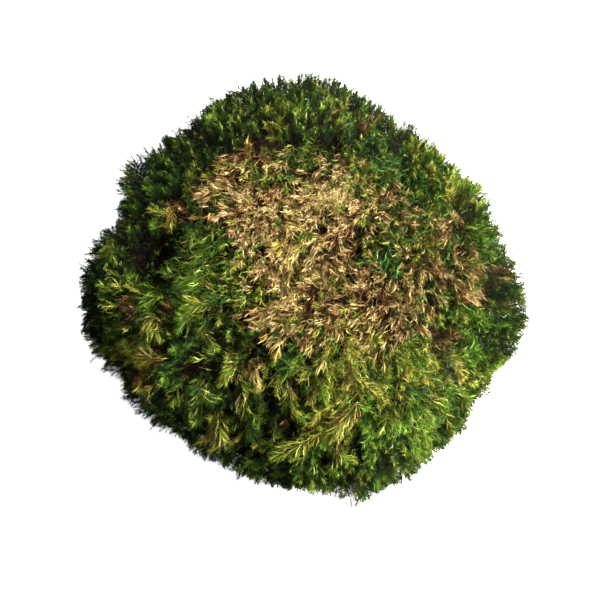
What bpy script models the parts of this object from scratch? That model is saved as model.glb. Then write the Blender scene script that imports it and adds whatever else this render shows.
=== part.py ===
"""A moss clump as one solid: the form that its grown-together shoots reach, at real size.

The clump was lifted off the ground, so it ends in a flat cut at Z 0 and rests on it. Its sides
bulge over the cut, its dead crown is a flatter bald patch on top, pits open between the shoots,
and the longest shoots lie over the rest as locks with free tips. Metres, +Z up, origin at the
middle of the cut. -Y is the side that faces the viewer.
"""

import math
import random

import bmesh
import bpy
from mathutils import Vector

MM = 0.001

# Driving dimensions.
CLUMP_HEIGHT = 78 * MM
WAIST_HEIGHT = 21 * MM
SHOULDER_POWER = 0.86
BASE_EDGE_POLAR = math.radians(113)
# Radius of the clump at its waist, counterclockwise from +X in equal steps.
WAIST_RADII_MM = (88, 78, 79, 80, 89, 87, 84, 82, 91, 87, 85, 82, 90, 94, 88, 88)

# Each swelling or pit: azimuth and polar angle in degrees, reach and rise in mm.
SWELLINGS = (
    (0, 82, 20, 4),
    (38, 66, 22, 3),
    (75, 80, 22, 3),
    (118, 72, 24, 4),
    (150, 76, 20, 4),
    (180, 66, 16, 4),
    (205, 84, 22, 4),
    (232, 54, 14, 4),
    (268, 78, 20, 3),
    (290, 56, 20, 4),
    (318, 76, 22, 4),
    (345, 62, 16, 3),
)
PITS = (
    (188, 40, 12, -11),
    (200, 72, 9, -7),
    (239, 36, 9, -6),
    (244, 63, 10, -8),
    (254, 70, 8, -6),
    (258, 50, 9, -7),
    (264, 64, 8, -6),
    (276, 66, 8, -6),
    (278, 98, 14, -8),
    (294, 86, 9, -6),
    (302, 92, 9, -6),
    (333, 53, 10, -6),
    (20, 74, 9, -5),
    (61, 50, 9, -6),
    (100, 88, 10, -6),
    (142, 58, 9, -5),
)

# The dead crown lies flatter than the rest, with long furrows between its laid shoots.
CROWN_CENTRE = Vector((8 * MM, 2 * MM, CLUMP_HEIGHT))
CROWN_REACH = 46 * MM
CROWN_GRAIN = Vector((math.cos(math.radians(58)), math.sin(math.radians(58)), 0))
FURROW_LENGTH = 9 * MM
FURROW_WIDTH = 3.4 * MM
FURROW_DEPTH = 5.5 * MM
# The middle of each furrow in plan.
FURROWS_MM = ((1, -22), (18, -12), (18, -27), (-5, 11), (6, 27), (34, -5), (-20, 20))

# The longest shoots: azimuth and polar angle of the root and of the tip, and size.
LAID_LOCKS = (
    (286, 48, 274, 61, 1.1),
    (268, 62, 262, 75, 1.1),
    (264, 42, 270, 54, 0.9),
    (283, 64, 286, 75, 0.8),
    (252, 42, 256, 52, 0.9),
    (240, 38, 236, 50, 0.9),
    (243, 57, 252, 67, 1.0),
    (240, 74, 248, 85, 1.0),
    (220, 60, 206, 75, 1.1),
    (166, 27, 190, 33, 0.7),
    (184, 18, 208, 32, 0.7),
    (236, 22, 223, 35, 0.7),
    (10, 22, 324, 22, 0.7),
    (14, 38, 350, 31, 0.7),
    (6, 50, 352, 44, 0.7),
    (49, 42, 40, 22, 0.8),
    (33, 50, 24, 32, 0.8),
    (279, 36, 277, 49, 0.8),
    (304, 60, 304, 76, 1.0),
    (297, 48, 292, 60, 0.9),
)
# Two shoots hang free over the front rim.
HANGING_LOCKS = ((280, 81, 281, 101, 1.0), (288, 82, 288, 99, 0.9))
HANGING_STAND_OFF = 7 * MM
# More locks stand in rings round the clump: polar angle in degrees and places in each ring.
# A place too near another lock stays empty.
LOCK_RINGS = ((56, 13), (75, 18), (92, 18))
LOCK_RING_SPREAD = 5
LOCK_LENGTH = 16 * MM
LOCK_SIZES = (0.75, 1.1)
LOCK_TURN = math.radians(40)
LOCK_STAND_OFF = 3.5 * MM
LOCK_SHIFT = 6 * MM
LOCKS_APART = 8.5 * MM
LOCK_SHADE = 6.5 * MM
LOCK_FLATNESS = 0.6
# Each section of a lock: share of its length, lift and half width in mm, how far it has tipped.
LOCK_SECTIONS = (
    (0.06, 2.6, 3.8, math.radians(48)),
    (0.40, 3.6, 3.6, math.radians(84)),
    (0.72, 3.6, 2.5, math.radians(92)),
)

# Shoot tips that stand out of the surface.
TIP_SHARE = 0.74
TIP_RISE = 4.8 * MM
CROWN_TIP_RISE = 2.4 * MM
TIP_VARIETY = (0.55, 1.2)
TIP_LEAN = 0.45
GAP_DEPTH = 1.3 * MM
GAP_VARIETY = (0.2, 1.4)
SHADE_DEPTH = 2 * MM
FADE_HEIGHT = 8 * MM
LEAST_HEIGHT = 0.4 * MM
SIDE_JITTER = 0.011
SMALL_ANGLE = 0.05
SPHERE_DIVISIONS = 5
SEED = 11

MOSS_GREEN = (0.075, 0.13, 0.02, 1)


def clear_scene():
    for old in list(bpy.data.objects):
        bpy.data.objects.remove(old, do_unlink=True)


def material(name, colour, roughness):
    made = bpy.data.materials.new(name)
    made.use_nodes = True
    shader = made.node_tree.nodes["Principled BSDF"]
    shader.inputs["Base Color"].default_value = colour
    shader.inputs["Roughness"].default_value = roughness
    return made


def waist_radius(azimuth):
    """The waist's radius at an azimuth, on a smooth closed curve through WAIST_RADII_MM."""
    count = len(WAIST_RADII_MM)
    place = azimuth / (2 * math.pi) * count
    first = math.floor(place)
    t = place - first
    a, b, c, d = (WAIST_RADII_MM[(first + step) % count] for step in (-1, 0, 1, 2))
    curve = b + t * (c - a) / 2
    curve += t * t * (a - 2.5 * b + 2 * c - 0.5 * d)
    curve += t**3 * (1.5 * (b - c) + (d - a) / 2)
    return curve * MM


def form_point(azimuth, polar):
    """A point on the plain dome, or on its flat cut for a polar angle past the base's edge."""
    waist = waist_radius(azimuth)
    share = math.sin(min(polar, BASE_EDGE_POLAR)) ** SHOULDER_POWER
    if polar >= BASE_EDGE_POLAR:
        share *= (math.pi - polar) / (math.pi - BASE_EDGE_POLAR)
        height = 0.0
    elif polar > math.pi / 2:
        height = WAIST_HEIGHT * (1 - math.cos(polar) / math.cos(BASE_EDGE_POLAR))
    else:
        crown = CLUMP_HEIGHT - WAIST_HEIGHT
        height = WAIST_HEIGHT + crown * math.cos(polar) ** SHOULDER_POWER
    return Vector((waist * share * math.cos(azimuth), waist * share * math.sin(azimuth), height))


def crown_share(place):
    """1 in the middle of the dead crown, falling to 0 at its rim."""
    away = (place - CROWN_CENTRE).length / CROWN_REACH
    return max(0.0, 1 - away**4)


def relief(place):
    """How far the surface stands out of the plain dome at this point of it."""
    rise = 0.0
    for azimuth, polar, reach, height in SWELLINGS + PITS:
        centre = form_point(math.radians(azimuth), math.radians(polar))
        rise += height * MM * math.exp(-(((place - centre).length / (reach * MM)) ** 2))
    across = Vector((-CROWN_GRAIN.y, CROWN_GRAIN.x, 0))
    for x, y in FURROWS_MM:
        off = Vector((place.x - x * MM, place.y - y * MM, 0))
        narrow = (off.dot(across) / FURROW_WIDTH) ** 2
        long = (off.dot(CROWN_GRAIN) / FURROW_LENGTH) ** 2
        rise -= FURROW_DEPTH * math.exp(-narrow - long) * crown_share(place)
    return rise


def round_ball(draw):
    """A ball of near-equal triangles, its corners moved a little so that no pattern shows."""
    ball = bmesh.new()
    bmesh.ops.create_icosphere(ball, subdivisions=SPHERE_DIVISIONS, radius=1)
    for corner in ball.verts:
        shift = Vector(draw.uniform(-1, 1) for _ in range(3)) * SIDE_JITTER
        corner.co = (corner.co + shift).normalized()
    return ball


def polar_of(corner):
    return math.acos(max(-1.0, min(1.0, corner.co.normalized().z)))


def to_form(ball):
    """Moves the ball's corners onto the dome and its cut, and returns the dome's and the cut's."""
    on_dome = set()
    for corner in ball.verts:
        polar = polar_of(corner)
        corner.co = form_point(math.atan2(corner.co.y, corner.co.x), polar)
        if polar < BASE_EDGE_POLAR:
            on_dome.add(corner)
    cut = [face for face in ball.faces if not any(corner in on_dome for corner in face.verts)]
    return on_dome, cut


def push_out(ball, rises):
    """Moves corners along their normals, and less so near the cut."""
    ball.normal_update()
    moves = [(corner, corner.normal.copy(), rise) for corner, rise in rises.items()]
    for corner, normal, rise in moves:
        low = min(1.0, corner.co.z / FADE_HEIGHT)
        corner.co += normal * rise * low


def plan_locks(draw):
    """Root, tip, the tip's stand-off and size of every lock, on the plain dome."""
    locks = []
    for group, stand_off in ((LAID_LOCKS, LOCK_STAND_OFF), (HANGING_LOCKS, HANGING_STAND_OFF)):
        for *angles, size in group:
            azimuth, polar, tip_azimuth, tip_polar = (math.radians(angle) for angle in angles)
            root = form_point(azimuth, polar)
            locks.append((root, form_point(tip_azimuth, tip_polar), stand_off, size))
    for polar_degrees, count in LOCK_RINGS:
        for step in range(count):
            azimuth = 2 * math.pi * (step + draw.uniform(0.2, 0.8)) / count
            polar = math.radians(polar_degrees + draw.uniform(-LOCK_RING_SPREAD, LOCK_RING_SPREAD))
            root = form_point(azimuth, polar)
            turn = draw.uniform(-LOCK_TURN, LOCK_TURN)
            down = (form_point(azimuth, polar + SMALL_ANGLE) - root).normalized()
            side = (form_point(azimuth + SMALL_ANGLE, polar) - root).normalized()
            heading = down * math.cos(turn) + side * math.sin(turn)
            size = draw.uniform(*LOCK_SIZES)
            locks.append((root, root + heading * LOCK_LENGTH * size, LOCK_STAND_OFF, size))
    return locks


def extrude_cap(ball, cap):
    """Lifts a patch of faces off the ball on new sides, and returns the lifted patch."""
    lifted = bmesh.ops.extrude_face_region(ball, geom=cap)["geom"]
    bmesh.ops.delete(ball, geom=cap, context="FACES")
    return [piece for piece in lifted if isinstance(piece, bmesh.types.BMFace)]


def grow_lock(ball, root, tip, size):
    """Draws a tapering lock out of the faces round its root, and returns the corners it made."""
    up = root.normal.copy()
    start = root.co.copy()
    forward = tip - start
    forward = (forward - up * forward.dot(up)).normalized()
    side = up.cross(forward)
    cap = list(root.link_faces)
    middle, ahead_axis, flatness = start, forward, 1.0
    made = set()
    for share, lift, half_width, tilt in LOCK_SECTIONS:
        cap = extrude_cap(ball, cap)
        next_middle = start.lerp(tip, share) + up * lift * size * MM
        next_ahead = forward * math.cos(tilt) - up * math.sin(tilt)
        for corner in {corner for face in cap for corner in face.verts}:
            offset = corner.co - middle
            ahead, aside = offset.dot(ahead_axis) / flatness, offset.dot(side)
            reach = math.hypot(ahead, aside)
            if reach < MM:
                corner.co = next_middle
            else:
                outward = (next_ahead * ahead * LOCK_FLATNESS + side * aside) / reach
                corner.co = next_middle + outward * half_width * size * MM
            made.add(corner)
        middle, ahead_axis, flatness = next_middle, next_ahead, LOCK_FLATNESS
    cap = extrude_cap(ball, cap)
    corners = list({corner for face in cap for corner in face.verts})
    bmesh.ops.pointmerge(ball, verts=corners, merge_co=tip)
    return made


def span_distance(place, start, end):
    """Distance from a place to the straight span between two points."""
    run = end - start
    share = max(0.0, min(1.0, (place - start).dot(run) / run.length_squared))
    return (place - start - run * share).length


def crosses(start, end, spans):
    """Whether a lock from start to end would come too near one that is there already."""
    for other_start, other_end in spans:
        near = [span_distance(start.lerp(end, part), other_start, other_end) for part in (0, 0.5, 1)]
        near += [span_distance(place, start, end) for place in (other_start, other_end)]
        if min(near) < LOCKS_APART:
            return True
    return False


def grow_locks(ball, on_dome, locks):
    """Grows each lock from the nearest free corner, and shades the surface that it lies over."""
    taken = set()
    grown = set()
    shaded = set()
    spans = []
    for root_place, tip, stand_off, size in locks:
        root = min(on_dome - taken, key=lambda corner: (corner.co - root_place).length)
        near = {corner for face in root.link_faces for corner in face.verts}
        far_off = (root.co - root_place).length > LOCK_SHIFT
        if far_off or near & taken or crosses(root.co, tip, spans):
            continue
        taken |= near
        spans.append((root.co.copy(), tip))
        for corner in on_dome:
            if span_distance(corner.co, root.co, tip) < LOCK_SHADE:
                shaded.add(corner)
        on_dome.discard(root)
        grown |= grow_lock(ball, root, tip + root.normal * stand_off, size)
    return {corner for corner in grown if corner.is_valid}, shaded


def raise_tips(ball, on_dome, grown, shaded, draw):
    """Pokes a tip into most open faces of the dome, and returns the tips."""
    open_faces = []
    for face in ball.faces:
        corners = set(face.verts)
        standing = corners <= on_dome and not corners <= shaded and not corners & grown
        if standing and draw.random() < TIP_SHARE:
            open_faces.append(face)
    return set(bmesh.ops.poke(ball, faces=open_faces)["verts"])


def dress(ball, on_dome, tips, shaded, draw):
    """Lets the poked tips stand out and lean, and sinks the gaps between them."""
    ball.normal_update()
    moves = []
    for corner in ball.verts:
        if corner not in on_dome and corner not in tips:
            continue
        share = crown_share(corner.co)
        outward = Vector((corner.co.x, corner.co.y, 0)).normalized()
        downhill = outward - corner.normal * outward.dot(corner.normal)
        along = downhill * (1 - share) + CROWN_GRAIN * share
        if corner in tips:
            rise = TIP_RISE * (1 - share) + CROWN_TIP_RISE * share
            rise *= draw.uniform(*TIP_VARIETY)
        elif corner in shaded:
            rise = -SHADE_DEPTH
        else:
            rise = -GAP_DEPTH * draw.uniform(*GAP_VARIETY)
        lean = along * TIP_LEAN * max(rise, 0)
        low = min(1.0, corner.co.z / FADE_HEIGHT)
        moves.append((corner, (corner.normal * rise + lean) * low))
    for corner, move in moves:
        corner.co += move


def flatten_cut(ball, cut):
    """Keeps the shoots above the flat cut, and makes it one face in as few triangles as it needs."""
    cut_corners = {corner for face in cut for corner in face.verts}
    for corner in ball.verts:
        if corner not in cut_corners:
            corner.co.z = max(corner.co.z, LEAST_HEIGHT)
    whole = bmesh.ops.dissolve_faces(ball, faces=cut)["region"]
    bmesh.ops.triangulate(ball, faces=whole)


def centre_on_cut(ball):
    """Puts the middle of the clump's box over the origin."""
    for axis in (0, 1):
        places = [corner.co[axis] for corner in ball.verts]
        middle = (min(places) + max(places)) / 2
        for corner in ball.verts:
            corner.co[axis] -= middle


def build():
    clear_scene()
    draw = random.Random(SEED)
    ball = round_ball(draw)
    on_dome, cut = to_form(ball)
    push_out(ball, {corner: relief(corner.co) for corner in on_dome})
    ball.normal_update()
    grown, shaded = grow_locks(ball, on_dome, plan_locks(draw))
    tips = raise_tips(ball, on_dome, grown, shaded, draw)
    dress(ball, on_dome, tips, shaded, draw)
    flatten_cut(ball, cut)
    centre_on_cut(ball)
    mesh = bpy.data.meshes.new("moss_cushion")
    ball.to_mesh(mesh)
    ball.free()
    mesh.materials.append(material("living_moss", MOSS_GREEN, 0.85))
    cushion = bpy.data.objects.new("moss_cushion", mesh)
    clump = bpy.data.collections.new("moss_clump")
    bpy.context.scene.collection.children.link(clump)
    clump.objects.link(cushion)


build()
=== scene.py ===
"""A clump of moss, leaf by leaf: green leafy shoots round a dry straw-coloured crown.

The shoots are scattered over the form of the clump, and each patch of the clump has its own kind
of shoot. Patches and fronds are placed by pixels of the 600 x 600 photograph, through the camera.
Metres, +Z up, -Y towards the viewer.
"""

import math
from collections import namedtuple

import bpy
import numpy as np
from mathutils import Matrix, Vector
from mathutils.bvhtree import BVHTree
from mathutils.kdtree import KDTree


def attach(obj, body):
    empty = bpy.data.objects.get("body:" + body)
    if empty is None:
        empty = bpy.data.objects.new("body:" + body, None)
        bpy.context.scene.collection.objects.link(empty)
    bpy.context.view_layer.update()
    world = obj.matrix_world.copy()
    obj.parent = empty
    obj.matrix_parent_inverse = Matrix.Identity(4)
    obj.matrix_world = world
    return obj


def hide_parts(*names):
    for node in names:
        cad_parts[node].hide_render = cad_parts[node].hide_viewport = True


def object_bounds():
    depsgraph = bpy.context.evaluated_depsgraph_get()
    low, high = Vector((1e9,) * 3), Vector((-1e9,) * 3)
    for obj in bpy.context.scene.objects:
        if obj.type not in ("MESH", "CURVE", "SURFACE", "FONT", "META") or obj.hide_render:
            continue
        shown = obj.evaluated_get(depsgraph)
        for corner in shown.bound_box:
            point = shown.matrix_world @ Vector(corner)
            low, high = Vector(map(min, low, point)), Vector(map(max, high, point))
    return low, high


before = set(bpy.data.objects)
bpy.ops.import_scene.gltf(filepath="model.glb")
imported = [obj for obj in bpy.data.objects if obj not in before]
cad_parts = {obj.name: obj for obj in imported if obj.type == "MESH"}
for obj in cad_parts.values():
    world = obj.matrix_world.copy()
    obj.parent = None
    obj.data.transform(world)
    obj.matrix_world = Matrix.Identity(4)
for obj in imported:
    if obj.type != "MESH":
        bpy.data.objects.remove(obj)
cad_box = [list(corner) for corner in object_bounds()]

MM = 0.001
SEED = 23
draw = np.random.default_rng(SEED)

# The camera, as the photograph was taken.
IMAGE_SIZE = 600
LENS_MM = 85
SENSOR_MM = 36
ELEVATION = math.radians(65)
PIXEL_SIZE = 0.43 * MM
TARGET = np.array((-2, -10, 30)) * MM
FOCAL_PIXELS = LENS_MM / SENSOR_MM * IMAGE_SIZE
TO_CAMERA = np.array((0, -math.cos(ELEVATION), math.sin(ELEVATION)))
IMAGE_UP = np.array((0, math.sin(ELEVATION), math.cos(ELEVATION)))
IMAGE_RIGHT = np.array((1.0, 0, 0))
CAMERA_PLACE = TARGET + TO_CAMERA * FOCAL_PIXELS * PIXEL_SIZE

# The form is read as distances from its heart, round by round from the top down, FINER times as
# finely as it is kept. Its tips and its ground are these percentiles of the distances within
# FILTER steps.
HEART = np.array((0, 0, 22)) * MM
ROUNDS = 100
TURNS = 220
FINER = 2
FILTER = 2
TIP_SHARE = 94
GROUND_SHARE = 45

# The bed lies under that ground. BED_DEPTH: a usual depth under the tips. BED_SINK: heights, and
# how deep the bed lies there. RIM_FOLLOW: share of the rim's extra reach that it follows.
# LEAST_SINK: its least depth under the tips, as a share of that sink. BED_CUT: height of its
# flat underside. The leaves keep the gaps to the CAD model's box and to the floor.
BED_DEPTH = 5.5 * MM
BED_SINK = np.array(((0.5, 6, 18, 34), (0, 2.0, 3.1, 5.5))) * MM
RIM_FOLLOW = 0.8
LEAST_SINK = 0.6
BOX_GAP = 0.2 * MM
FLOOR_GAP = 0.3 * MM
BED_CUT = 2 * FLOOR_GAP

# The middle of the dry crown, and its height. Most green shoots lean away from it.
CROWN_CENTRE = np.array((6, -6, 0)) * MM
CROWN_HEIGHT = 60 * MM

# Every leaf takes its tone from one of these columns, and its band from its age: the lower it
# sits on its stalk, the older and darker it is, partly as older leaves are and partly as painted
# shade deep among the shoots. TONES: columns with their colours, 0 to 255, as seen. Columns
# below FIRST_GREEN are dry.
COLUMNS = 72
TONES = (
    (0, (60, 40, 20)),
    (7, (122, 80, 42)),
    (13, (186, 140, 82)),
    (18, (224, 190, 130)),
    (23, (234, 208, 142)),
    (28, (224, 192, 110)),
    (33, (204, 190, 78)),
    (39, (156, 176, 46)),
    (45, (116, 158, 30)),
    (51, (80, 128, 32)),
    (57, (56, 106, 40)),
    (63, (42, 84, 42)),
    (64, (140, 184, 34)),
    (71, (76, 134, 28)),
)
# The pale colour that the brightest living leaves are mixed towards: a painted sheen.
PAINTED_SHEEN = (206, 206, 146)
FIRST_GREEN = 34
BANDS = 4

# How bright a column's leaves may be, how seldom they are bright, how far the brightest turn
# pale as a painted sheen, and how much darker and deeper in colour each older band is, partly
# from age and partly as painted shade.
GREEN_SHADE = (0.26, 1.1)
STRAW_SHADE = (0.29, 0.69)
SHADE_SKEW = 2.1
SHEEN_SHARE = 0.46
BAND_SHADE_FADE = 0.6
BAND_SHADE_DEEPEN = 0.24

# On one leaf: brightness at its foot, a painted shade where it meets the stalk, and how far up
# it fades, on its rib and at its edge, and along its streaks. MAP_HALF and MAP_MARGIN: half the
# width of a leaf in its column, and the gap to its band's ends.
FOOT_PAINTED_SHADE = 0.2
FOOT_SHARE = 0.7
RIB_SHADE = (1.12, 0.86)
STREAK_SHADE = (0.78, 1.22)
STREAKS = (COLUMNS * 5, BANDS * 7, 1)
MAP_HALF = 0.44
MAP_MARGIN = 0.02

# A kind of shoot. tone and mix: column and its spread between shoots; blend: spread between the
# leaves of one shoot; leaf and wide: leaf size in mm; open: degrees that leaves stand off the
# stalk; number: leaves on a shoot; leafy: mm of the stalk's end that carry leaves; old: age of
# its youngest leaves, whose darker bands are partly painted shade; gap: mm between shoots; lean:
# how far they lean; heading: image direction of the lean in degrees, or None for away from the
# crown; tall: share of the way up to the form's tips. The first LEAF_FIELDS are about leaves.
# HIDDEN_KINDS grow where the camera doesn't see, and GROUND_KIND grows everywhere a little.
Kind = namedtuple("Kind", "tone mix blend leaf wide open number leafy old gap lean heading tall")
KINDS = {
    "rim": Kind(49, 4.0, 3.4, 2.8, 0.30, 52, 76, 13.0, 0.05, 1.85, 0.2, None, 1.0),
    # Dark kind: rim shoots with older, darker leaves, painted shade away from the key lamp.
    "dark": Kind(50, 4.0, 3.4, 2.8, 0.30, 50, 74, 13.0, 0.4, 1.85, 0.25, None, 1.0),
    "fluffy": Kind(44, 5.5, 3.4, 4.6, 0.29, 46, 66, 12.0, -0.18, 2.0, 0.45, None, 1.0),
    "olive": Kind(44, 6.0, 3.6, 4.0, 0.29, 46, 66, 12.0, 0.1, 1.95, 0.4, None, 1.0),
    "fresh": Kind(67.0, 1.6, 1.5, 4.4, 0.29, 46, 66, 12.0, -0.2, 2.0, 0.4, None, 1.0),
    "gold": Kind(37, 4.5, 3.0, 4.7, 0.29, 42, 66, 12.0, -0.36, 2.0, 0.5, None, 1.0),
    "teal": Kind(57, 2.5, 2.6, 4.2, 0.29, 42, 62, 12.0, 0.0, 2.0, 0.6, None, 1.0),
    "russet": Kind(12, 4.0, 5.0, 4.0, 0.30, 42, 46, 11.0, 0.1, 2.0, 0.5, None, 1.0),
    "spray": Kind(55, 2.5, 3.0, 4.8, 0.29, 34, 46, 12.0, 0.3, 2.2, 1.1, -120, 0.6),
    # Hollow kind: short shoots with old, dark leaves, painted shade deep in the holes.
    "hollow": Kind(52, 4.0, 5.0, 3.4, 0.34, 52, 26, 4.0, 0.85, 3.2, 0.3, None, 0.12),
    "straw": Kind(20, 5.0, 2.8, 5.3, 0.45, 21, 26, 5.0, -0.04, 1.3, 1.0, -112, 0.95),
    "yellow_straw": Kind(26.5, 4.0, 2.8, 5.4, 0.44, 21, 26, 5.2, -0.04, 1.3, 1.0, -112, 0.95),
    "tan": Kind(14.5, 3.5, 2.6, 5.3, 0.45, 21, 26, 5.0, -0.04, 1.3, 1.0, -105, 0.95),
    # Furrow kind: short brown shoots, old and dark: partly dead stalks, partly painted shade.
    "furrow": Kind(7, 3.0, 2.4, 3.6, 0.36, 30, 18, 3.6, 0.6, 1.4, 0.8, -115, 0.22),
    "regrowth": Kind(44, 5.0, 3.2, 4.8, 0.40, 26, 27, 5.2, 0.0, 1.4, 0.95, -112, 0.97),
}
KIND_NAMES = tuple(KINDS)
LEAF_FIELDS = 9
DRY_KINDS = ("straw", "yellow_straw", "tan", "furrow")
CROWN_KINDS = DRY_KINDS + ("regrowth",)
HIDDEN_KINDS = ("rim", "dark", "olive", "fluffy")
GROUND_KIND = "rim"
GROUND_STRENGTH = 0.25

# Outline of the dry crown in pixels, how far it wavers, and how much of a kind strays over it.
CROWN_OUTLINE = (
    (209, 194), (218, 181), (226, 168), (235, 156), (248, 147), (262, 153), (278, 148),
    (291, 157), (318, 162), (344, 158), (362, 162), (360, 174), (378, 177), (392, 196),
    (391, 210), (378, 222), (377, 244), (367, 262), (369, 277), (386, 281), (401, 272),
    (398, 258), (405, 236), (402, 214), (412, 208), (424, 224), (424, 242), (440, 240),
    (446, 218), (455, 221), (463, 240), (466, 258), (466, 284), (457, 300), (444, 306),
    (431, 303), (416, 316), (403, 330), (397, 345), (382, 354), (355, 352), (331, 348),
    (318, 336), (299, 328), (281, 335), (262, 331), (252, 313), (256, 298), (244, 288),
    (228, 285), (220, 276), (231, 265), (221, 256), (217, 247), (225, 237), (209, 243),
    (207, 234), (211, 222), (224, 217), (229, 207), (216, 201),
)
CROWN_WOBBLE = 4
CROWN_WAVE = 9 * MM
STRAY = 0.02
STRAY_GREEN = 0.1

# Where a shoot's tip will be, from its root: how far out, and which way besides straight out.
TIP_REACH = 9.5 * MM
CROWN_LEAN = IMAGE_RIGHT * -0.36 - IMAGE_UP * 0.77
GREEN_LEAN = 0.5

# Patches by kind of shoot: pixel, reach in pixels along x and y, strength. A patch is placed by
# the tips of its shoots.
PATCHES = {
    # Dark patches are painted shade: the left side, the back and bottom rims, the lower-left
    # hollows.
    "dark": (
        (150, 150, 80, 80, 1.3), (95, 280, 34, 80, 0.8), (180, 200, 40, 40, 0.5),
        (300, 90, 90, 24, 2.2), (505, 290, 20, 60, 1.8), (465, 425, 22, 40, 2.2),
        (400, 125, 50, 14, 0.7), (205, 280, 36, 46, 1.6), (245, 390, 55, 45, 1.7),
        (330, 485, 100, 22, 1.2), (200, 400, 70, 50, 1.2),
    ),
    "rim": (
        (180, 190, 45, 60, 0.4), (300, 105, 90, 22, 0.6), (490, 300, 40, 80, 0.9),
        (300, 478, 90, 22, 0.9),
    ),
    "olive": (
        (300, 128, 80, 18, 0.5), (215, 280, 40, 50, 0.6), (430, 165, 26, 22, 0.9),
        (320, 430, 60, 34, 0.9), (110, 300, 40, 60, 0.6), (140, 350, 40, 30, 0.6),
    ),
    "spray": (
        (395, 165, 40, 40, 2.2), (392, 235, 26, 36, 1.6), (440, 205, 24, 22, 0.9),
    ),
    "fluffy": (
        (470, 190, 30, 40, 0.9), (400, 375, 62, 50, 1.8), (340, 365, 60, 36, 1.4),
    ),
}
CROWN_PATCHES = {
    "straw": (
        (312, 215, 90, 80, 1.2), (345, 300, 60, 50, 1), (430, 275, 50, 40, 0.9),
        (455, 242, 12, 20, 3),
    ),
    "yellow_straw": (
        (225, 175, 26, 18, 1.9), (310, 245, 26, 14, 1.8), (275, 280, 26, 22, 1.2),
        (340, 325, 40, 12, 1.3), (380, 335, 30, 14, 1), (448, 268, 30, 28, 1),
    ),
    "tan": (
        (205, 192, 14, 9, 1.5), (250, 153, 18, 12, 1.6), (275, 210, 24, 16, 1.1),
        (225, 230, 20, 16, 1), (308, 258, 10, 6, 2.2), (360, 249, 13, 10, 3),
        (345, 265, 12, 9, 1.6), (462, 236, 7, 14, 2), (385, 295, 26, 18, 0.9),
    ),
    "regrowth": (
        (340, 240, 150, 110, 0.5), (436, 272, 44, 36, 0.95), (232, 280, 26, 36, 0.7),
        (350, 345, 50, 18, 1.3), (290, 150, 50, 12, 0.5),
    ),
}

# Small patches that hold against the others: the same values.
CROWN_SPOTS = {
    "spray": (
        (290, 179, 13, 7, 9), (375, 252, 7, 14, 4),
    ),
    "regrowth": (
        (270, 171, 12, 5, 9), (362, 230, 6, 6, 9), (362, 188, 12, 14, 3), (234, 266, 12, 8, 4),
        (337, 284, 9, 9, 5), (356, 286, 4, 8, 9), (325, 307, 7, 6, 5),
    ),
    "olive": (
        (270, 187, 11, 5, 6), (305, 202, 6, 4, 6), (327, 229, 11, 7, 6), (252, 254, 9, 5, 6),
        (443, 268, 8, 8, 6),
    ),
}
SPOTS = {
    "gold": (
        (352, 354, 22, 13, 8), (352, 402, 10, 9, 5), (349, 382, 16, 20, 6), (325, 392, 10, 12, 3),
        (338, 414, 17, 12, 6), (372, 400, 16, 10, 5), (433, 350, 14, 7, 4), (451, 362, 12, 8, 4),
        (410, 362, 9, 6, 4), (396, 372, 9, 12, 3), (262, 362, 8, 9, 3), (238, 366, 7, 14, 4),
        (229, 434, 14, 10, 3), (218, 337, 9, 5, 5), (134, 352, 13, 9, 3), (120, 296, 12, 7, 3),
        (172, 220, 5, 8, 6), (337, 101, 9, 6, 6), (466, 184, 10, 7, 1.6), (262, 322, 10, 6, 3),
    ),
    "fluffy": (
        (440, 160, 18, 8, 2),
    ),
    "fresh": (
        (420, 392, 26, 18, 7), (390, 422, 24, 14, 6), (372, 412, 10, 8, 3), (440, 380, 13, 9, 4),
        (474, 350, 9, 14, 4), (482, 322, 10, 14, 4), (166, 190, 9, 9, 3), (330, 450, 14, 8, 3),
        (247, 330, 10, 7, 3), (150, 285, 10, 8, 2), (385, 450, 16, 8, 2.5),
    ),
    "olive": (
        (436, 420, 14, 12, 4),
    ),
    "teal": (
        (414, 336, 20, 9, 5), (386, 352, 10, 9, 3), (437, 352, 10, 6, 3), (301, 371, 14, 8, 4),
        (214, 384, 16, 10, 3), (472, 303, 12, 9, 3), (148, 232, 11, 8, 4), (196, 332, 12, 9, 3),
        (186, 372, 12, 10, 3), (288, 340, 12, 10, 3), (345, 135, 14, 9, 3), (452, 425, 16, 18, 2),
    ),
    "russet": (
        (184, 212, 8, 8, 5), (132, 303, 8, 5, 4), (153, 322, 7, 5, 4), (146, 370, 9, 6, 5),
        (447, 334, 17, 8, 5), (413, 369, 5, 3, 5), (457, 372, 6, 9, 2.5), (504, 268, 9, 5, 5),
        (375, 125, 6, 5, 6), (326, 105, 6, 5, 5), (232, 436, 10, 6, 2), (285, 425, 9, 5, 3),
        (255, 362, 4, 6, 4),
    ),
}

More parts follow.
